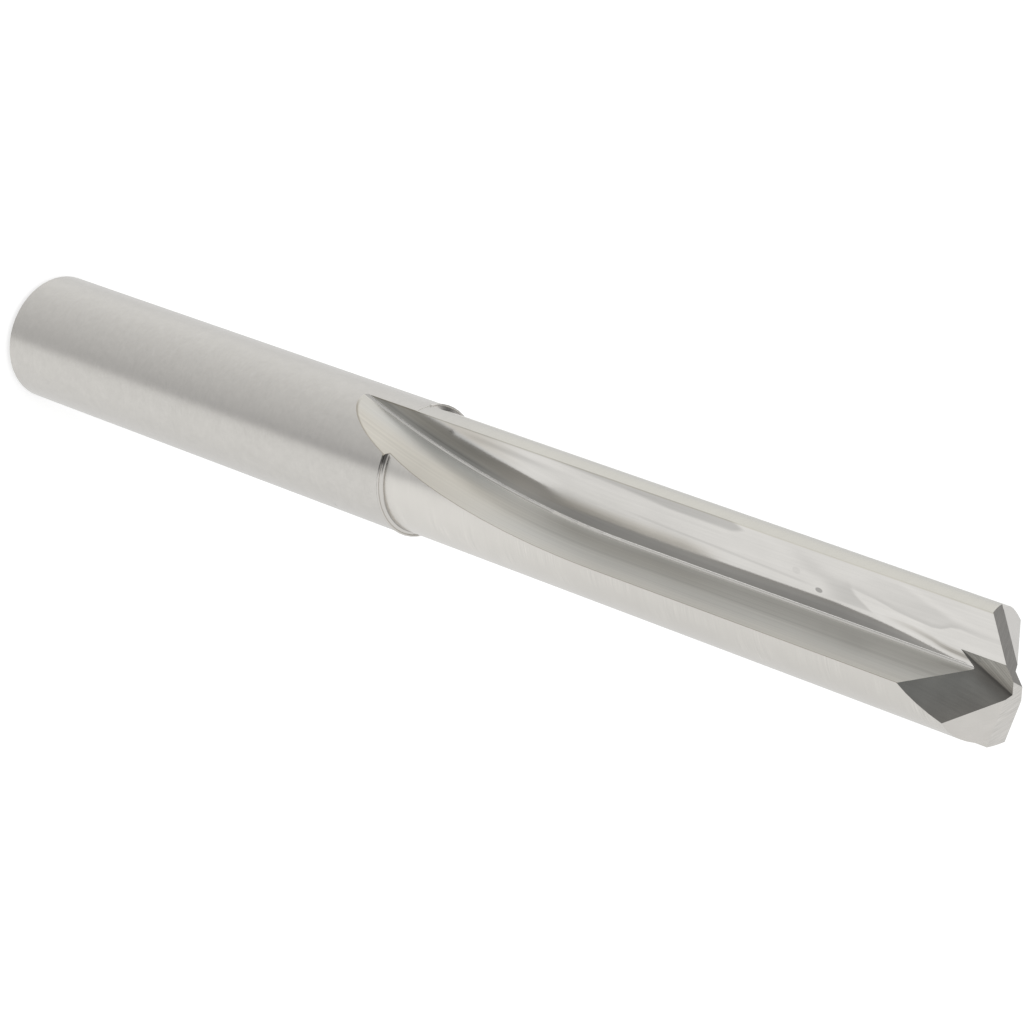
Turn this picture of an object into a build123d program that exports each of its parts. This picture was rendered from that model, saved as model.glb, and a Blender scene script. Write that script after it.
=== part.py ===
from build123d import *
import os
from math import asin, cos, degrees, radians, sin, sqrt, tan

# Straight-flute drill, ground from one rod of solid carbide. Lengths are in millimetres, angles in degrees.
# The origin is the centre of the flat shank end. +Z runs along the axis to the point, and +X along one lip.
# Everything past the shank repeats every half turn about the axis.

# Rod
drill_diameter = 12.0
overall_length = 118.0
shank_length = 45.2
end_chamfer = 0.6
lobes = 2

# Flute, ground by a wheel with one flat side, which leaves the rod along a large arc
lip_lead = 1.04
root_offset = 0.62
heel_wall_angle = 12.5
root_radius = 0.25
wheel_radius = 100.0

# Margin, with the diameter that it loses from the lips down to the shoulder. The land behind it is ground
# lower, and the shoulder is where both meet the shank.
margin_width = 1.69
back_taper = 0.04
land_clearance = 0.4
shoulder_past_shank = 6.5
shoulder_length = 0.3
short_of_next_margin = 24.0
bead_height = 0.1
bead_radius = 0.12

# Point, with two flank facets on each lobe
point_angle = 140.0
primary_relief = 14.2
secondary_relief = 30.4
primary_width = 1.71

# Notch that thins the web and cuts off the heel of the next lobe
full_lip_start = 1.87
thinning_angle = 17.5
notch_turn = 44.6
notch_to_axis = 30.3
notch_below_point = 1.4

# Room by which the grinding cuts reach past the rod
overcut = 2.0

# Worked out from the sizes above
drill_radius = drill_diameter / 2
land_radius = drill_radius - land_clearance
lip_corner_x = sqrt(drill_radius**2 - lip_lead**2)
lip_corner_angle = degrees(asin(lip_lead / drill_radius))
margin_angle = degrees(margin_width / drill_radius)
margin_back_angle = lip_corner_angle - margin_angle
land_cut_arc = 360 / lobes - margin_angle - short_of_next_margin
land_cut_start = margin_back_angle - land_cut_arc
root_lift = lip_corner_x - root_offset
runout_length = sqrt(wheel_radius**2 - (wheel_radius - root_lift) ** 2)
runout_start = shank_length + runout_length
runout_arc = degrees(asin((runout_length + 2 * overcut) / wheel_radius))
shoulder_height = shank_length + shoulder_past_shank
shoulder_slope = shoulder_length / land_clearance
lip_fall = 90 - point_angle / 2
lip_corner_height = overall_length - lip_corner_x * tan(radians(lip_fall))
taper_foot_radius = drill_radius - back_taper / 2
taper_slope = back_taper / 2 / (lip_corner_height - shoulder_height)
cut_reach = drill_radius + overcut
cut_top = overall_length + overcut


def radial_plane(angle):
    """Plane through the drill axis, with x pointing out at the angle and y up the axis."""
    turn = radians(angle)
    return Plane(origin=(0, 0, 0), x_dir=(cos(turn), sin(turn), 0), z_dir=(sin(turn), -cos(turn), 0))


def facet_plane(lobe, outward_fall, backward_fall, start_behind_axis=0.0, start_below_point=0.0):
    """Plane of a flank facet, by how steeply it falls outward along the lip and backward from it."""
    turn = 360 / lobes * lobe
    normal = Vector(tan(radians(outward_fall)), -tan(radians(backward_fall)), 1).rotate(Axis.Z, turn)
    start = Vector(0, -start_behind_axis, overall_length - start_below_point).rotate(Axis.Z, turn)
    return Plane(origin=start, z_dir=normal)


# Flute wheel's path: straight over the point at full depth, and out of the rod round the wheel's axis
rake_end = (cut_reach, lip_lead)
root_corner = (root_offset, lip_lead)
heel_top = (root_offset - (cut_reach - lip_lead) * tan(radians(heel_wall_angle)), cut_reach)
outer_corner = (cut_reach, cut_reach)
wheel_axis = Axis((root_offset + wheel_radius, 0, runout_start), (0, -1, 0))

with BuildPart() as flute_cut:
    with BuildSketch(Plane.XY.offset(runout_start)) as flute_section:
        with BuildLine():
            Polyline(rake_end, root_corner, heel_top, outer_corner, close=True)
        make_face()
        fillet(flute_section.vertices().sort_by_distance((*root_corner, 0))[0], radius=root_radius)
    extrude(amount=cut_top - runout_start)
    revolve(flute_section.sketch, axis=wheel_axis, revolution_arc=runout_arc)

# Land clearance: a sector from the back of the margin into the next flute, ending at the conical shoulder
land_foot = (land_radius, shoulder_height + shoulder_length)
land_top = (land_radius, cut_top)
land_outer_top = (cut_reach, cut_top)
land_outer_foot = (cut_reach, shoulder_height - shoulder_slope * overcut)

with BuildPart() as land_cut:
    with BuildSketch(radial_plane(land_cut_start)):
        with BuildLine():
            Polyline(land_foot, land_top, land_outer_top, land_outer_foot, close=True)
        make_face()
    revolve(axis=Axis.Z, revolution_arc=land_cut_arc)

# Low rounded bead on the upper edge of the shoulder, as long as the land's sector
bead_centre = (drill_radius + bead_height - bead_radius, shoulder_height)

with BuildPart() as bead:
    with BuildSketch(radial_plane(land_cut_start)):
        with Locations(bead_centre):
            Circle(bead_radius)
    revolve(axis=Axis.Z, revolution_arc=land_cut_arc)

# Notch: what lies in front of the thinned lip and above the slanted plane that clears the next lobe's heel
thinned_lip_normal = Vector(-sin(radians(thinning_angle)), cos(radians(thinning_angle)), 0)
thinned_lip_plane = Plane(origin=(full_lip_start, lip_lead, overall_length), z_dir=thinned_lip_normal)
notch_normal = Vector(cos(radians(notch_turn)), sin(radians(notch_turn)), tan(radians(notch_to_axis)))
notch_plane = Plane(origin=(0, 0, overall_length - notch_below_point), z_dir=notch_normal)

with BuildPart() as notch_cut:
    with Locations((0, 0, overall_length)):
        Box(2 * cut_reach, 2 * cut_reach, 4 * cut_reach)
    split(bisect_by=thinned_lip_plane, keep=Keep.TOP)
    split(bisect_by=notch_plane, keep=Keep.TOP)

# Drill: the rod with its end chamfer and back taper, then lands, beads, flutes, flank facets and notches
shank_foot = (drill_radius, 0)
shank_top = (drill_radius, shoulder_height)
taper_foot = (taper_foot_radius, shoulder_height)
taper_top = (drill_radius + (cut_top - lip_corner_height) * taper_slope, cut_top)
behind_axis = primary_width - lip_lead
below_point = behind_axis * tan(radians(primary_relief))

with BuildPart() as drill_bit:
    with BuildSketch(Plane.XZ):
        with BuildLine():
            Polyline((0, 0), shank_foot, shank_top, taper_foot, taper_top, (0, cut_top), close=True)
        make_face()
    revolve(axis=Axis.Z)
    chamfer(drill_bit.edges().group_by(Axis.Z)[0], length=end_chamfer)
    with PolarLocations(0, lobes):
        add(land_cut.part, mode=Mode.SUBTRACT)
        add(bead.part)
        add(flute_cut.part, mode=Mode.SUBTRACT)
    for lobe in range(lobes):
        split(bisect_by=facet_plane(lobe, lip_fall, primary_relief), keep=Keep.BOTTOM)
        split(
            bisect_by=facet_plane(lobe, lip_fall, secondary_relief, behind_axis, below_point),
            keep=Keep.BOTTOM,
        )
    with PolarLocations(0, lobes):
        add(notch_cut.part, mode=Mode.SUBTRACT)

drill_bit.part.label = "drill_bit"
os.makedirs("parts", exist_ok=True)
export_step(drill_bit.part, "parts/drill_bit.step")
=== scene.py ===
from math import atan2, cos, degrees, hypot, pi, radians, sin

import bpy
from mathutils import Matrix, Vector

# Straight-flute carbide drill, standing on its shank end on a white floor. Lengths are in metres, but the
# finishes are laid out in millimetres.
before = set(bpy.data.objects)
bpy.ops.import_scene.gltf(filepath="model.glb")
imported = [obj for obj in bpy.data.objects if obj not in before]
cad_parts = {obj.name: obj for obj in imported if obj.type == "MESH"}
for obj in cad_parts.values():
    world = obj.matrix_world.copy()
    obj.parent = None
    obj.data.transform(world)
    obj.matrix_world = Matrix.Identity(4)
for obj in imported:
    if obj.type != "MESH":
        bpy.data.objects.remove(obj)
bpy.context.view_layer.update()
mm_per_metre = 1000.0

# Sizes of the drill that its ground faces and their finishes are placed by, in millimetres and degrees
drill_radius = 6.0
land_radius = 5.6
chamfer_height = 0.6
shoulder_height = 51.7
shoulder_foot = 52.0
bead_radius = 0.12
lip_lead = 1.04
root_offset = 0.62
heel_wall_angle = 12.5
root_radius = 0.25
wheel_radius = 100.0
runout_start = 77.29
overall_length = 118.0
notch_turn = 44.6
notch_to_axis = 30.3
notch_below_point = 1.4
full_lip_start = 1.87
thinning_angle = 17.5


# Nodes

class Tree:
    """Short calls to add and link nodes in a material's or the world's tree."""

    def __init__(self, tree):
        self.nodes = tree.nodes
        self.links = tree.links

    def add(self, kind, inputs=(), **settings):
        node = self.nodes.new(kind)
        for name, value in settings.items():
            setattr(node, name, value)
        for name, value in dict(inputs).items():
            self.set(node.inputs[name], value)
        return node

    def set(self, socket, value):
        """Links another node's output to the socket, or sets the socket's own value."""
        if isinstance(value, bpy.types.NodeSocket):
            self.links.new(value, socket)
        else:
            socket.default_value = value

    def math(self, operation, *values):
        node = self.nodes.new("ShaderNodeMath")
        node.operation = operation
        for socket, value in zip(node.inputs, values):
            self.set(socket, value)
        return node.outputs[0]

    def plus(self, a, b):
        return self.math("ADD", a, b)

    def minus(self, a, b):
        return self.math("SUBTRACT", a, b)

    def times(self, a, b):
        return self.math("MULTIPLY", a, b)

    def over(self, a, b):
        return self.math("DIVIDE", a, b)

    def length(self, a, b):
        return self.math("SQRT", self.plus(self.times(a, a), self.times(b, b)))

    def all_of(self, *factors):
        """Product of any number of factors."""
        result = factors[0]
        for factor in factors[1:]:
            result = self.times(result, factor)
        return result

    def most(self, *factors):
        """Largest of any number of factors."""
        result = factors[0]
        for factor in factors[1:]:
            result = self.math("MAXIMUM", result, factor)
        return result

    def raised(self, factor, amount):
        """A level that goes from 1 to 1 + amount as the factor goes from 0 to 1."""
        return self.math("MULTIPLY_ADD", factor, amount, 1.0)

    def lowered(self, factor, amount):
        """A level that goes from 1 to 1 - amount as the factor goes from 0 to 1."""
        return self.raised(factor, -amount)

    def vector(self, x, y, z):
        return self.add("ShaderNodeCombineXYZ", {"X": x, "Y": y, "Z": z}).outputs[0]

    def mix(self, factor, low, high):
        """From the colour low to high as the factor goes from 0 to 1."""
        node = self.add("ShaderNodeMix", data_type="RGBA")
        # A mix of colours uses these of the node's sockets, and its third output
        factor_socket, low_socket, high_socket = node.inputs[0], node.inputs[6], node.inputs[7]
        for socket, value in zip((factor_socket, low_socket, high_socket), (factor, low, high)):
            self.set(socket, (*value, 1) if isinstance(value, tuple) else value)
        return node.outputs[2]

    def rise(self, value, start, end):
        """Smooth step from 0 at the start to 1 at the end. The start may be the larger of the two."""
        node = self.add(
            "ShaderNodeMapRange", {"Value": value, "From Min": start, "From Max": end},
            interpolation_type="SMOOTHSTEP",
        )
        return node.outputs["Result"]

    def line(self, value, middle, reach):
        """1 on the middle, and smoothly down to 0 where the value is a reach away from it."""
        distance = self.math("ABSOLUTE", self.minus(value, middle))
        return self.rise(distance, reach, 0.0)

    def oval(self, u, v, middle, reach, inner, outer):
        """1 inside an oval, and 0 outside it, with its soft edge between two shares of its reach."""
        across = self.over(self.minus(u, middle[0]), reach[0])
        along = self.over(self.minus(v, middle[1]), reach[1])
        return self.rise(self.length(across, along), outer, inner)

    def curve(self, value, points):
        """Straight pieces through points of (value, result)."""
        low, high = points[0][0], points[-1][0]
        top = max(result for _, result in points)
        place = self.add("ShaderNodeMapRange", {"Value": value, "From Min": low, "From Max": high})
        stops = [((at - low) / (high - low), result / top) for at, result in points]
        return self.times(self.ramp(place.outputs["Result"], stops), top)

    def ramp(self, factor, stops):
        """A grey ramp through stops of (place, level)."""
        node = self.add("ShaderNodeValToRGB", {"Fac": factor})
        elements = node.color_ramp.elements
        while len(elements) < len(stops):
            elements.new(0.5)
        for element, (place, level) in zip(elements, stops):
            element.position = place
            element.color = (level, level, level, 1)
        return node.outputs["Color"]

    def noise(self, x, y, z, detail=2.0):
        """Noise around 0, about -0.5 to 0.5."""
        place = self.vector(x, y, z)
        node = self.add("ShaderNodeTexNoise", {"Vector": place, "Scale": 1.0, "Detail": detail})
        return self.minus(node.outputs["Fac"], 0.5)


class Finish(Tree):
    """A bare ground carbide finish, with the place on the drill in millimetres.

    x and y are turned half a turn where that is needed, so both lobes are finished alike.
    """

    def __init__(self, name, colour, roughness, lobe_by="Y"):
        self.material = bpy.data.materials.new(name)
        self.material.use_nodes = True
        super().__init__(self.material.node_tree)
        self.colour = colour
        self.shader = self.nodes["Principled BSDF"]
        self.shader.inputs["Metallic"].default_value = 1.0
        self.shader.inputs["Roughness"].default_value = roughness
        place = self.add("ShaderNodeTexCoord").outputs["Object"]
        axes = self.add("ShaderNodeSeparateXYZ", {"Vector": place}).outputs
        self.side = self.math("SIGN", axes[lobe_by])
        self.x = self.times(self.times(axes["X"], mm_per_metre), self.side)
        self.y = self.times(self.times(axes["Y"], mm_per_metre), self.side)
        self.z = self.times(axes["Z"], mm_per_metre)

    def marks(self, x_rate, y_rate, z_rate, seed=0.0, detail=2.0):
        """Noise with its own number of marks per millimetre along each axis."""
        return self.noise(
            self.plus(self.times(self.x, x_rate), seed), self.times(self.y, y_rate),
            self.times(self.z, z_rate), detail,
        )

    def polar(self):
        """Distance from the axis, and the arc along the drill's circumference."""
        arc = self.times(self.math("ARCTAN2", self.y, self.x), drill_radius)
        return self.length(self.x, self.y), arc

    def flute(self):
        """Place in the flute wheel's section, and the way to the wheel's axis in x and z."""
        across = self.minus(root_offset + wheel_radius, self.x)
        down = self.math("MAXIMUM", self.minus(runout_start, self.z), 0.0)
        reach = self.length(across, down)
        depth = self.minus(root_offset + wheel_radius, reach)
        return depth, self.over(across, reach), self.over(down, reach)

    def facing(self, x, y, z):
        """Sets the surface's normal by a direction on the first lobe."""
        direction = self.vector(self.times(x, self.side), self.times(y, self.side), z)
        normal = self.add("ShaderNodeVectorMath", {0: direction}, operation="NORMALIZE")
        self.set(self.shader.inputs["Normal"], normal.outputs["Vector"])

    def round(self):
        """Normal straight out from the axis."""
        self.facing(self.x, self.y, 0.0)

    def in_flute(self, outward, sideways):
        """Normal from its part towards the flute wheel's axis and its part along +Y of the first lobe."""
        _, to_axis_x, to_axis_z = self.flute()
        self.facing(self.times(to_axis_x, outward), sideways, self.times(to_axis_z, outward))

    def scaled(self, level, tint=(1.0, 1.0, 1.0)):
        """The plain colour times a level and a tint."""
        return self.vector(*[self.times(level, part * share) for part, share in zip(self.colour, tint)])

    def paint(self, colour):
        self.set(self.shader.inputs["Base Color"], colour)

    def tone(self, *levels):
        """Colours the finish by its plain colour times all the levels."""
        self.paint(self.scaled(self.all_of(*levels)))


# Finishes of the shank, the margins, the lands and the shoulder

def shank_finish():
    """Fine round-ground cylinder with a faint mottle, and one dark speck on the first lobe's side."""
    f = Finish("shank_finish", (0.607, 0.59, 0.56), 0.25)
    f.round()
    mottle = f.marks(1.1, 1.1, 0.9, detail=4.0)
    grain = f.marks(2.6, 2.6, 3.4, seed=5.0)
    rings = f.marks(0.2, 0.2, 9.0, detail=3.0)
    first_lobe = f.math("MAXIMUM", f.side, 0.0)
    speck_at = (-3.97, 4.5, 44.6)
    speck_reach = (0.3, 0.4, 0.13)
    speck = f.all_of(first_lobe, *[f.line(*axis) for axis in zip((f.x, f.y, f.z), speck_at, speck_reach)])
    f.tone(f.raised(mottle, 0.1), f.raised(grain, 0.08), f.raised(rings, 0.05), f.lowered(speck, 0.5))
    return f.material


def end_finish():
    """Faced end with rings about the axis, darker on the chamfer."""
    f = Finish("end_finish", (0.5, 0.49, 0.465), 0.35)
    radius, _ = f.polar()
    rings = f.noise(f.times(radius, 7.0), 0.0, 0.0, detail=3.0)
    chamfer = f.rise(radius, drill_radius - chamfer_height - 0.05, drill_radius - chamfer_height)
    f.tone(f.raised(rings, 0.12), f.lowered(chamfer, 0.3))
    return f.material


def margin_finish():
    """Cream circular-ground margin, which comes out of the shank's own tone above the shoulder."""
    f = Finish("margin_finish", (0.645, 0.63, 0.577), 0.25, "X")
    f.round()
    _, arc = f.polar()
    level = f.raised(f.noise(f.times(arc, 0.5), f.times(f.z, 1.8), 0.0, detail=4.0), 0.08)
    back = f.rise(arc, 0.2, -0.6)
    near_shank = f.rise(f.z, 66.0, shoulder_height)
    cream = f.mix(back, f.scaled(level), f.scaled(f.times(level, 0.95), (1.0, 1.01, 1.04)))
    f.paint(f.mix(near_shank, cream, f.scaled(f.times(level, 0.94), (1.0, 1.0, 1.03))))
    return f.material


def land_finish():
    """Land with faint grinding marks round it, and broad soft patches."""
    f = Finish("land_finish", (0.645, 0.626, 0.591), 0.27)
    f.round()
    _, arc = f.polar()
    around = f.minus(f.z, f.times(arc, 0.05))
    patches = f.noise(f.times(around, 0.3), f.times(arc, 0.35), 4.0)
    marks = f.noise(f.times(around, 6.0), f.times(arc, 0.22), 0.0, detail=3.0)
    strength = f.math("MAXIMUM", f.plus(f.times(patches, 1.2), 0.11), 0.05)
    # Brighter near the shoulder, most of all beside the flute
    by_shoulder = f.rise(f.z, 84.0, 54.0)
    beside_flute = f.times(f.rise(f.z, 62.0, 54.0), f.rise(arc, 8.3, 6.8))
    f.tone(
        f.raised(f.times(marks, strength), 1.0), f.raised(patches, 0.09), f.raised(by_shoulder, 0.1),
        f.raised(beside_flute, 0.1),
    )
    return f.material


def step_finish():
    """Low step between the back of the margin and the land."""
    f = Finish("step_finish", (0.6, 0.585, 0.55), 0.3)
    f.tone(f.raised(f.marks(0.0, 0.0, 2.0), 0.1))
    return f.material


def ledge_finish():
    """Matt burr on the ledge, a hair wide, under the margin and on the ends of the bead."""
    f = Finish("ledge_finish", (0.95, 0.935, 0.9), 0.8)
    f.shader.inputs["Metallic"].default_value = 0.0
    f.shader.inputs["Specular IOR Level"].default_value = 0.0
    f.tone(f.raised(f.marks(1.5, 1.5, 0.0), 0.06))
    return f.material


def shoulder_finish():
    """Bead and conical foot, with painted shade: black beside the flute, and two dark creases round the
    rest.
    """
    f = Finish("shoulder_finish", (0.62, 0.6, 0.57), 0.25)
    _, arc = f.polar()
    round_about = f.math("DEGREES", f.over(arc, drill_radius))
    near_flute = f.rise(round_about, 80.0, 70.0)
    beside_flute = f.rise(round_about, 72.0, 66.0)
    far_round = f.rise(round_about, 92.0, 112.0)
    by_margin = f.rise(round_about, 163.0, 170.0)
    # Painted shade: two black lines beside the flute, which run together at its edge
    outer_line = f.line(f.z, shoulder_height + 0.06, 0.09)
    inner_line = f.line(f.z, shoulder_foot - 0.12, 0.07)
    between = f.all_of(
        f.rise(f.z, shoulder_height, shoulder_height + 0.08),
        f.rise(f.z, shoulder_foot - 0.03, shoulder_foot - 0.09), beside_flute,
    )
    flute_side_shade = f.times(f.most(outer_line, inner_line, between), near_flute)
    # Painted shade: lower crease fades out towards the next margin, upper crease grows towards it
    lower = f.times(f.rise(f.z, shoulder_height + 0.02, shoulder_height - 0.06), f.minus(1.0, by_margin))
    upper = f.times(f.rise(f.z, shoulder_foot - 0.07, shoulder_foot - 0.01), f.plus(0.15, far_round))
    f.tone(f.lowered(flute_side_shade, 0.78), f.lowered(lower, 0.5), f.lowered(upper, 0.4), f.raised(by_margin, 0.25))
    return f.material


# Finish of the polished wall in front of the lip, by its parts

def shape_rake(f):
    """Dishes the wall towards its outer edge, and waves it a little."""
    degrees_dished = f.curve(f.z, [
        (70, 0.0), (80, 0.7), (88, 1.1), (96, 0.85), (100, 0.75), (103.8, 1.7), (105.7, 2.5), (107.5, 3.5),
        (109.4, 4.8), (111.2, 6.2), (112.5, 7.2), (118, 7.2),
    ])
    wave = 0.008
    wave_x = f.times(f.marks(0.5, 0.0, 0.06, seed=2.0), wave)
    wave_z = f.times(f.marks(0.3, 0.0, 0.1, seed=7.0), wave)
    f.facing(f.plus(wave_x, f.times(degrees_dished, radians(1))), 1.0, wave_z)


def rake_runout(f, depth):
    """Level of the greyer run-out, a painted reflection on its wedge that mirrors the heel wall, and its
    warm part.
    """
    x, z = f.x, f.z
    runout = f.rise(z, 66.0, 58.0)
    wedge = f.times(runout, f.rise(depth, 3.2, 2.6))
    warm = f.times(runout, f.rise(depth, 2.8, 3.4))
    # A slanting streak leads into it, and painted shade darkens it at the outer edge where it enters the
    # shank
    slanting = f.plus(x, f.times(z, 0.044))
    streak = f.all_of(f.line(slanting, 7.85, 0.45), f.rise(z, 71.0, 64.0), f.rise(z, 56.0, 60.0))
    entry_shade = f.times(f.rise(z, 51.0, 47.5), f.rise(x, 4.6, 5.4))
    # Lines of the wheel along the root, brighter at the shank's end
    by_root = f.times(f.rise(z, 64.0, 57.0), f.rise(depth, 2.4, 1.4))
    root_lines = f.times(by_root, f.noise(f.times(depth, 3.0), 8.0, f.times(z, 0.03)))
    root_end = f.times(by_root, f.rise(z, 54.0, 49.0))
    level = f.all_of(
        f.lowered(runout, 0.19), f.lowered(wedge, 0.08), f.lowered(streak, 0.18), f.lowered(entry_shade, 0.08),
        f.raised(root_lines, 1.4), f.raised(root_end, 0.22),
    )
    return level, wedge, warm


def rake_wipes(f):
    """Level of the dark wipe beside the outer edge, with its round end, and of the long thin line."""
    x, z = f.x, f.z
    wipe_edge = f.curve(z, [(52, 5.85), (68, 5.75), (72, 5.6), (76, 5.42), (82, 5.02), (91, 5.0)])
    wipe_end = f.rise(f.minus(z, f.times(f.line(x, 5.45, 0.6), 1.2)), 89.3, 88.2)
    wipe = f.times(f.rise(f.minus(x, wipe_edge), -0.14, 0.22), wipe_end)
    slanting = f.plus(x, f.times(z, 0.033))
    long_line = f.all_of(f.line(slanting, 6.0, 0.2), f.rise(z, 99.0, 95.0), f.rise(z, 76.0, 80.0))
    return f.times(f.lowered(wipe, 0.25), f.lowered(long_line, 0.12))


def rake_smear(f):
    """Level of the grey smear that ends in a point, and how far the place is past its end."""
    x, z = f.x, f.z
    smear_end = f.curve(x, [(2.0, 104.4), (2.6, 103.3), (3.2, 102.2), (3.6, 101.8), (4.8, 101.4)])
    past_smear = f.minus(z, smear_end)
    smear = f.all_of(
        f.rise(past_smear, 0.3, -0.3), f.rise(z, 98.2, 101.2), f.rise(x, 2.1, 2.45), f.rise(x, 4.5, 3.4),
    )
    slanting = f.plus(x, f.times(f.minus(z, 97.4), 0.33))
    smear_start = f.all_of(f.line(slanting, 4.4, 1.1), f.rise(z, 94.5, 97.5), f.rise(z, 101.0, 99.0))
    return f.times(f.lowered(smear, 0.19), f.lowered(smear_start, 0.08)), past_smear


def rake_fold(f, past_smear):
    """Level of painted shade on the fold from smear to tip and a grey swath above it, and of painted light
    below.
    """
    x, z = f.x, f.z
    fold_at = f.curve(z, [
        (101.5, 3.73), (104.3, 3.5), (106.2, 3.14), (108.2, 2.95), (110.1, 2.81), (111.0, 2.95),
        (112.0, 3.36), (113.0, 3.51), (115.0, 3.33),
    ])
    above = f.minus(x, fold_at)
    fold = f.all_of(
        f.rise(above, -0.1, 0.08), f.rise(above, 0.55, 0.05), f.rise(z, 101.0, 102.6),
        f.rise(z, 115.0, 111.5),
    )
    swath_end = f.curve(z, [
        (101.5, 4.3), (104.3, 5.2), (106.4, 5.4), (108.2, 5.0), (110.1, 4.5), (112.0, 4.0), (115.0, 3.7),
    ])
    past_swath = f.minus(x, swath_end)
    swath_depth = f.curve(z, [(101, 0.0), (103, 0.04), (106, 0.07), (110, 0.1), (112, 0.12), (116, 0.07)])
    swath = f.all_of(f.rise(above, -0.08, 0.12), f.rise(past_swath, 0.35, -0.25), swath_depth)
    swath_rim = f.times(f.line(past_swath, 0.4, 0.45), f.rise(z, 105.0, 107.0))
    below = f.all_of(
        f.rise(above, 0.1, -0.12), f.rise(past_smear, -0.1, 0.5), f.rise(z, 101.4, 102.6),
        f.rise(z, 112.5, 108.5),
    )
    return f.all_of(
        f.lowered(fold, 0.1), f.lowered(swath, 1.0), f.raised(swath_rim, 0.03), f.raised(below, 0.03),
    )


def rake_tip_streak(f):
    """Depth of the brown streak that closes on the end of the mirrored heel wall."""
    streak_at = f.curve(f.z, [
        (106, 2.3), (108.2, 2.12), (110.1, 1.83), (111, 1.6), (112, 1.47), (113.5, 1.38),
    ])
    depth = f.curve(f.z, [(105, 0.0), (108.2, 0.19), (110.1, 0.3), (112, 0.46), (114, 0.48)])
    off_streak = f.minus(f.x, streak_at)
    lines = f.noise(f.times(off_streak, 7.0), 0.0, f.times(f.z, 0.1))
    return f.all_of(f.line(off_streak, 0.0, 0.42), depth, f.raised(lines, 1.4))


def rake_grain(f, depth):
    """Level of the fine lines along the grinding, and of soft clouds."""
    threads = f.noise(f.times(depth, 3.4), 0.0, f.times(f.z, 0.05), detail=4.0)
    fine = f.noise(f.times(depth, 9.0), 3.0, f.times(f.z, 0.09))
    clouds = f.marks(0.8, 0.0, 0.22, seed=3.0)
    return f.all_of(f.raised(threads, 0.14), f.raised(fine, 0.08), f.raised(clouds, 0.13))


def rake_spots(f):
    """Level of one dark spot and one faint ring."""
    spot = f.oval(f.x, f.z, (2.55, 98.34), (0.21, 0.38), 0.87, 1.12)
    ring = f.oval(f.x, f.z, (3.58, 95.9), (0.3, 0.45), 0.77, 1.14)
    return f.times(f.lowered(spot, 0.45), f.lowered(ring, 0.07))


def rake_finish():
    """Polished wall in front of the lip, with the smears, wipes and spots of its polish."""
    f = Finish("rake_finish", (0.675, 0.66, 0.632), 0.08)
    x, z = f.x, f.z
    depth, _, _ = f.flute()
    shape_rake(f)
    # The polish is dull in a stripe half way up, and a little at the shank's end
    stripe = f.all_of(f.rise(z, 66.0, 71.0), f.rise(z, 89.0, 83.0), f.rise(x, 1.7, 2.1))
    roughness = f.curve(z, [(50, 0.12), (58, 0.11), (64, 0.07), (118, 0.06)])
    f.set(f.shader.inputs["Roughness"], f.plus(roughness, f.times(stripe, 0.18)))
    # Along the mirrored heel wall the stripe is brown, and painted shade darkens the mirrored band beside
    # the root
    brown = f.times(stripe, f.rise(x, 3.2, 2.2))
    band = f.times(f.line(z, 80.0, 7.0), f.rise(x, 1.9, 1.6))
    edge = f.rise(x, 5.74, 5.83)
    runout_level, wedge, warm_runout = rake_runout(f, depth)
    smear_level, past_smear = rake_smear(f)
    tip_streak = rake_tip_streak(f)
    level = f.all_of(
        runout_level, smear_level, rake_wipes(f), rake_fold(f, past_smear), rake_grain(f, depth),
        rake_spots(f), f.lowered(tip_streak, 1.0), f.lowered(brown, 0.17), f.lowered(band, 0.09),
        f.lowered(edge, 0.12),
    )
    warm = f.most(warm_runout, brown, f.times(tip_streak, 2.0))
    plain = f.mix(warm, f.scaled(level), f.scaled(level, (1.01, 0.985, 0.94)))
    plain = f.mix(wedge, plain, f.scaled(level, (0.98, 1.0, 1.02)))
    f.paint(f.mix(edge, plain, f.scaled(f.times(level, 0.98), (1.0, 0.99, 0.93))))
    return f.material


# Finishes of the rest of the flute

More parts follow.
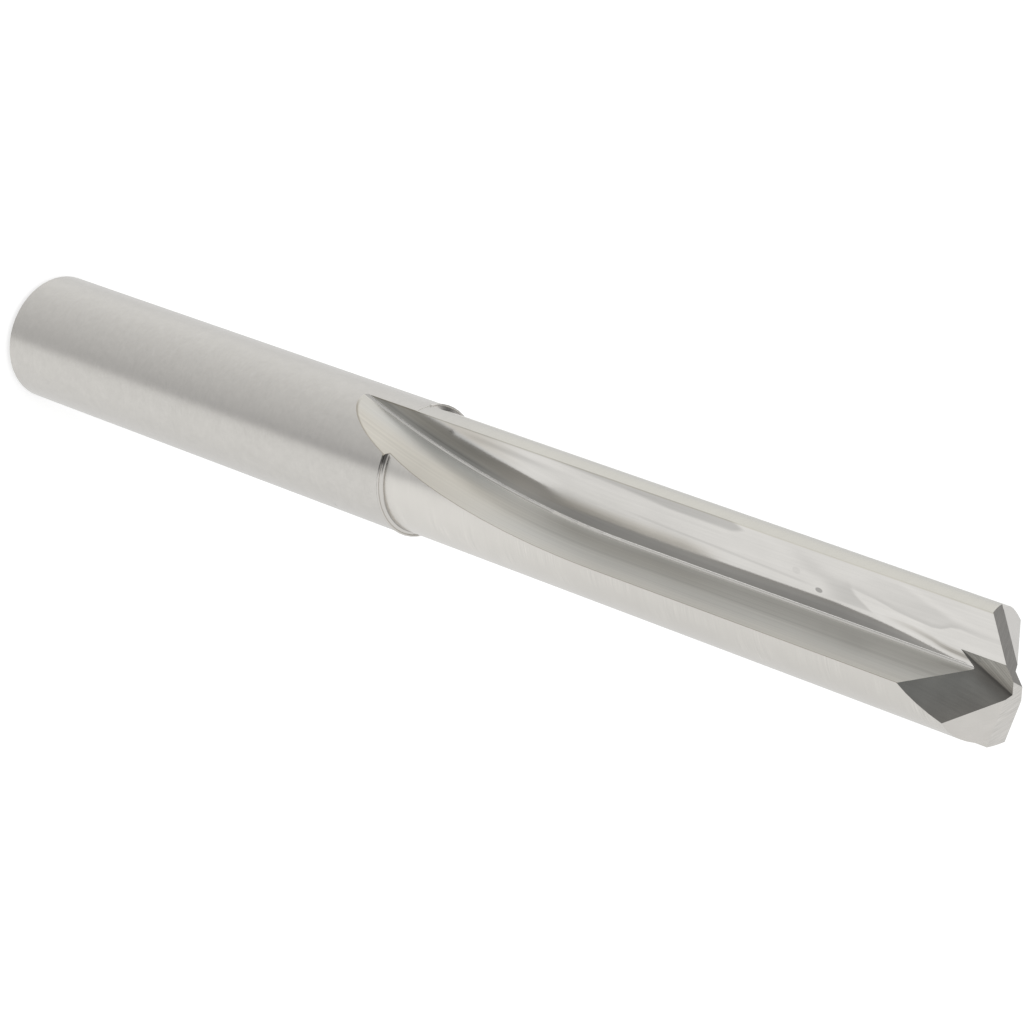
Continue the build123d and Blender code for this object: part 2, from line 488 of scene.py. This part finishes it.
def heel_finish():
    """Wheel-ground wall with fine lines along the flute, brighter to its top and warm near the shank."""
    f = Finish("heel_finish", (0.6, 0.597, 0.571), 0.3)
    lean = radians(heel_wall_angle)
    f.in_flute(cos(lean), sin(lean))
    y, z = f.y, f.z
    fine = f.marks(0.0, 11.0, 0.05)
    grooves = f.marks(0.0, 4.6, 0.03, seed=5.0)
    # Up the wall where the flute is straight, with one darker scratch
    runout = f.rise(z, 72.0, 56.0)
    straight = f.minus(1.0, runout)
    up_the_wall = f.curve(y, [
        (1.2, 1.14), (1.5, 0.97), (1.8, 0.92), (2.5, 0.97), (3.2, 1.0), (3.65, 1.1), (4.35, 1.09),
        (5.5, 1.04), (6.0, 1.04),
    ])
    scratch = f.times(f.line(y, 3.2, 0.16), straight)
    # Along the run-out, which is brighter beside the root
    along_the_runout = f.curve(z, [
        (45, 1.09), (50, 1.08), (53, 0.99), (55, 0.95), (57, 0.97), (60, 1.01), (63, 1.04), (67, 1.03),
        (72, 1.0),
    ])
    by_root = f.all_of(f.rise(y, 4.8, 2.4), f.rise(z, 72.0, 63.0), f.rise(z, 50.0, 59.0))
    level = f.all_of(
        f.raised(straight, f.minus(up_the_wall, 1.0)), f.lowered(scratch, 0.07), along_the_runout,
        f.raised(by_root, 0.24), f.raised(fine, 0.22), f.raised(grooves, 0.17),
    )
    # Thin brown line on the wall's outer edge, and a warm tone beside it and in the run-out
    radius, _ = f.polar()
    above_shoulder = f.rise(z, shoulder_height, shoulder_foot)
    rim = f.plus(drill_radius, f.times(above_shoulder, land_radius - drill_radius))
    gap = f.minus(rim, radius)
    edge = f.times(f.rise(gap, 0.1, 0.03), f.rise(y, 1.6, 2.8))
    by_edge = f.rise(gap, 1.6, 0.0)
    warmth = f.most(f.times(by_edge, 0.5), f.times(runout, f.rise(y, 1.4, 3.4)))
    wall = f.mix(warmth, f.scaled(level), f.scaled(level, (1.03, 0.99, 0.93)))
    f.paint(f.mix(edge, wall, f.scaled(f.times(level, 0.62), (1.02, 0.95, 0.85))))
    return f.material


def root_finish():
    """Rounded root, with a painted highlight that is brightest beside the polished wall."""
    f = Finish("root_finish", (0.72, 0.705, 0.675), 0.2)
    lean = radians(heel_wall_angle)
    depth, _, _ = f.flute()
    centre = root_offset + root_radius * (1 - sin(lean)) / cos(lean)
    f.in_flute(f.minus(centre, depth), f.minus(lip_lead + root_radius, f.y))
    threads = f.marks(0.0, 9.0, 0.04)
    # Painted highlight, from dim on the heel side to bright beside the polished wall
    rake_side_highlight = f.rise(depth, root_offset, centre)
    runout = f.rise(f.z, 77.0, 68.0)
    f.tone(f.raised(threads, 0.08), f.plus(0.84, f.times(rake_side_highlight, 0.54)), f.lowered(runout, 0.12))
    return f.material


# Finishes of the point

def primary_finish():
    """Narrow flank facet with fine lines across the lip."""
    f = Finish("primary_finish", (0.595, 0.578, 0.55), 0.2, "X")
    across = f.plus(f.x, f.times(f.y, 0.5))
    lines = f.noise(f.times(across, 7.0), f.times(f.y, 0.6), 0.0, detail=3.0)
    f.tone(f.raised(lines, 0.55))
    return f.material


def secondary_finish():
    """Wide flank facet with fine curved lines."""
    f = Finish("secondary_finish", (0.61, 0.59, 0.56), 0.2, "X")
    bow = f.times(f.times(f.y, f.y), 0.05)
    across = f.plus(f.plus(f.x, f.times(f.y, 0.25)), bow)
    lines = f.noise(f.times(across, 6.0), f.times(f.y, 0.5), 0.0, detail=3.0)
    clouds = f.marks(0.6, 0.6, 0.0, seed=2.0)
    f.tone(f.raised(lines, 0.06), f.raised(clouds, 0.12))
    return f.material


def notch_finish():
    """Slanted notch face, with painted shade where it meets the thinned lip."""
    f = Finish("notch_finish", (0.57, 0.57, 0.54), 0.2)
    turn = radians(thinning_angle)
    from_lip = f.minus(
        f.times(f.minus(f.y, lip_lead), cos(turn)), f.times(f.minus(f.x, full_lip_start), sin(turn)),
    )
    # Painted shade in the corner where the notch meets the thinned lip
    crease = f.rise(from_lip, 0.35, 0.02)
    by_tip = f.times(f.rise(from_lip, 1.5, 0.1), f.rise(f.z, 112.0, 116.0))
    lines = f.noise(f.times(f.minus(f.x, f.y), 5.0), f.times(f.z, 0.3), 0.0, detail=3.0)
    clouds = f.marks(0.5, 0.5, 0.5, seed=1.0)
    level = f.all_of(
        f.raised(lines, 0.2), f.raised(clouds, 0.35), f.lowered(crease, 0.35), f.lowered(by_tip, 0.35),
    )
    warm = f.most(f.rise(f.plus(f.x, f.times(f.y, 0.3)), 1.0, -2.5), by_tip)
    f.paint(f.mix(warm, f.scaled(level), f.scaled(level, (1.03, 0.985, 0.96))))
    return f.material


def thinned_lip_finish():
    """Thinned lip with fine bowed lines along its foot, and a thin light rim beside the notch."""
    f = Finish("thinned_lip_finish", (0.525, 0.515, 0.495), 0.2)
    turn, slope = radians(notch_turn), radians(notch_to_axis)
    out_of_notch = f.plus(
        f.plus(f.times(f.x, cos(turn) * cos(slope)), f.times(f.y, sin(turn) * cos(slope))),
        f.times(f.minus(f.z, overall_length - notch_below_point), sin(slope)),
    )
    # Painted shade in the crease against the notch
    crease = f.rise(out_of_notch, 0.07, 0.0)
    rim = f.line(out_of_notch, 0.12, 0.08)
    along = f.minus(f.z, 111.0)
    bowed = f.plus(out_of_notch, f.times(f.times(along, along), 0.03))
    lines = f.noise(f.times(bowed, 14.0), f.times(f.z, 0.1), 0.0, detail=1.0)
    ridges_per_mm = 3.1
    ridges = f.math("SINE", f.times(bowed, 2 * pi * ridges_per_mm))
    f.tone(f.raised(lines, 0.7), f.raised(ridges, 0.1), f.raised(rim, 0.15), f.lowered(crease, 0.4))
    return f.material


# Ground faces, each with the finish of its place

finishes = {
    "shank": shank_finish(),
    "end": end_finish(),
    "margin": margin_finish(),
    "land": land_finish(),
    "step": step_finish(),
    "ledge": ledge_finish(),
    "shoulder": shoulder_finish(),
    "rake": rake_finish(),
    "heel": heel_finish(),
    "root": root_finish(),
    "primary": primary_finish(),
    "secondary": secondary_finish(),
    "notch": notch_finish(),
    "thinned_lip": thinned_lip_finish(),
}

# Places that tell the ground faces apart, in millimetres, and in degrees for the two ends of the margin
rounding = 0.001
slack = 0.05
point_height = 108.0
shoulder_reach = shoulder_foot - shoulder_height + bead_radius
above_land = (drill_radius + land_radius) / 2
margin_from = -6.15
margin_to = 10.5

# Parts of a ground face's normal that tell it from its neighbours: up or down, outward from the axis,
# sideways round the axis, and along X or Y of its lobe
end_down = 0.5
facets_up = {"primary": 0.87, "secondary": 0.7, "notch": 0.4}
rake_along_y = 0.999
rake_outward = 0.9
ledge_up = 0.9
ledge_sideways = 0.9
shoulder_sideways = 0.15
shoulder_slant = 0.02
step_sideways = 0.95
shank_outward = 0.96
land_outward = 0.99
thinned_lip_along_x = -0.2
heel_along_y = sin(radians(heel_wall_angle))
heel_slack = 0.02


def finish_at(centre, normal):
    """Name of the finish on the ground face with this centre in millimetres and outward normal."""
    radius = max(hypot(centre.x, centre.y), rounding)
    side = 1 if centre.y > 0 else -1
    along_x, along_y = normal.x * side, normal.y * side
    outward = (normal.x * centre.x + normal.y * centre.y) / radius
    sideways = abs(normal.x * centre.y - normal.y * centre.x) / radius
    bearing = (degrees(atan2(centre.y, centre.x)) + 90) % 180 - 90
    at_rim = radius > land_radius - slack
    at_shoulder = at_rim and abs(centre.z - shoulder_height) < shoulder_reach
    if normal.z < -end_down and centre.z < chamfer_height:
        return "end"
    if centre.z > point_height:
        for facet, least_up in facets_up.items():
            if normal.z > least_up:
                return facet
    if along_y > rake_along_y and outward < rake_outward:
        return "rake"
    if at_shoulder and margin_from < bearing < margin_to and centre.z > shoulder_height - rounding:
        return "ledge" if normal.z > ledge_up else "margin"
    if at_shoulder and sideways > ledge_sideways and radius > land_radius + slack:
        return "ledge"
    if at_shoulder and sideways < shoulder_sideways and abs(normal.z) > shoulder_slant:
        return "shoulder"
    if at_rim and sideways > step_sideways:
        return "step"
    if centre.z < shoulder_height and outward > shank_outward:
        return "shank"
    if centre.z >= shoulder_height and outward > land_outward:
        return "margin" if radius > above_land else "land"
    if along_x < thinned_lip_along_x:
        return "thinned_lip"
    return "heel" if abs(along_y - heel_along_y) < heel_slack else "root"


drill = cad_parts["drill_bit"]
drill.data.materials.clear()
for finish in finishes.values():
    drill.data.materials.append(finish)
for face in drill.data.polygons:
    face.material_index = list(finishes).index(finish_at(face.center * mm_per_metre, face.normal))

# World: a white studio, in which only the metal mirrors the shade and the cards. Matt surfaces see a
# dimmer, even light. Below the horizon the world stands in for the floor, which the metal doesn't mirror.
white = (1.0, 1.0, 1.0)
ambient = (0.6, 0.6, 0.6)
shade_stops = [
    # Bearing in degrees, level
    (-180, 0.9), (-145, 0.86), (-70, 0.87), (-50, 0.98), (-25, 0.95), (68, 0.67),
    (86.5, 0.68), (94.5, 0.98), (104, 1.0), (135, 0.99), (180, 0.9),
]
cards = [
    # Bearing, height, half width and half the soft edge in degrees, level, and the blue part's share of it
    (40, 32, 30, 10, 0.23, 1.0),
    (-92, 22, 20, 8, 0.36, 1.0),
    (-74, 12, 9, 3, 0.05, 1.0),
    (-117, 15, 9, 3, 0.1, 1.0),
    (-162, 31, 28, 8, 0.955, 1.0),
    (80, -32, 8, 3, 0.235, 1.08),
    (80, -19, 8, 3, 0.235, 1.08),
]


def studio_light(sky):
    """White, with one long soft shade across the side that faces the camera, and a few grey cards."""
    towards = sky.add("ShaderNodeTexCoord").outputs["Generated"]
    axes = sky.add("ShaderNodeSeparateXYZ", {"Vector": towards}).outputs
    bearing = sky.math("ARCTAN2", axes["Y"], axes["X"])
    turn = sky.math("MULTIPLY_ADD", bearing, 0.5 / pi, 0.5)
    light = sky.ramp(turn, [((place + 180) / 360, level) for place, level in shade_stops])
    for card_bearing, card_height, reach, edge, level, blue in cards:
        b, h = radians(card_bearing), radians(card_height)
        card = (cos(b) * cos(h), sin(b) * cos(h), sin(h))
        facing_card = sky.add("ShaderNodeVectorMath", {0: towards, 1: card}, operation="DOT_PRODUCT")
        near = facing_card.outputs["Value"]
        inside = sky.rise(near, cos(radians(reach + edge)), cos(radians(reach - edge)))
        light = sky.mix(inside, light, (level, level, level * blue))
    return light


world = bpy.data.worlds.new("studio")
bpy.context.scene.world = world
world.use_nodes = True
sky = Tree(world.node_tree)
path = sky.add("ShaderNodeLightPath").outputs
mirrored = sky.math("MAXIMUM", path["Is Glossy Ray"], path["Is Transmission Ray"])
seen = sky.mix(path["Is Camera Ray"], sky.mix(mirrored, ambient, studio_light(sky)), white)
sky.set(sky.nodes["Background"].inputs["Color"], seen)

# Floor, white to the camera, with the drill's soft shadow
floor_size = 4.0
floor_grey = 0.6
floor_glow = 0.65


def floor_paper():
    """Matt grey paper, with a glow that only the camera sees."""
    paper = bpy.data.materials.new("floor_paper")
    paper.use_nodes = True
    sheet = Tree(paper.node_tree)
    sheet.nodes.remove(sheet.nodes["Principled BSDF"])
    matt = sheet.add("ShaderNodeBsdfDiffuse", {"Color": (floor_grey, floor_grey, floor_grey, 1)})
    in_view = sheet.add("ShaderNodeLightPath").outputs["Is Camera Ray"]
    glow = sheet.add("ShaderNodeEmission", {"Strength": sheet.times(in_view, floor_glow)})
    both = sheet.add("ShaderNodeAddShader", {0: matt.outputs[0], 1: glow.outputs[0]})
    sheet.set(sheet.nodes["Material Output"].inputs["Surface"], both.outputs[0])
    return paper


bpy.ops.mesh.primitive_plane_add(size=floor_size)
floor = bpy.context.object
floor.name = "floor"
floor.visible_glossy = False
floor.data.materials.append(floor_paper())

# Soft box, which gives the shadow on the floor
lamp_place = Vector((0.25, 0.1, 0.6))
lamp_data = bpy.data.lights.new("soft_box", "AREA")
lamp_data.shape = "DISK"
lamp_data.size = 0.5
lamp_data.energy = 1.0
soft_box = bpy.data.objects.new("soft_box", lamp_data)
bpy.context.scene.collection.objects.link(soft_box)
soft_box.location = lamp_place
soft_box.rotation_euler = (-lamp_place).to_track_quat("-Z", "Y").to_euler()
soft_box.visible_glossy = False

# Camera: looks down at the standing drill, rolled so that the drill lies across the picture
camera_bearing = radians(60.0801)
camera_height = radians(40.9216)
camera_roll = radians(110.0391)
camera_distance = 0.36
looks_at = Vector((-0.001028, -0.000037, 0.062305))
camera_data = bpy.data.cameras.new("camera")
camera_data.sensor_width = 36.0
camera_data.lens = 145.527
camera_data.clip_start = 0.01
camera = bpy.data.objects.new("camera", camera_data)
bpy.context.scene.collection.objects.link(camera)
place = Matrix.Translation(looks_at)
level_turn = Matrix.Rotation(camera_bearing + pi / 2, 4, "Z")
tilt = Matrix.Rotation(pi / 2 - camera_height, 4, "X")
roll = Matrix.Rotation(camera_roll, 4, "Z")
back_away = Matrix.Translation((0.0, 0.0, camera_distance))
camera.matrix_world = place @ level_turn @ tilt @ roll @ back_away
bpy.context.scene.camera = camera
bpy.context.scene.view_settings.view_transform = "Standard"
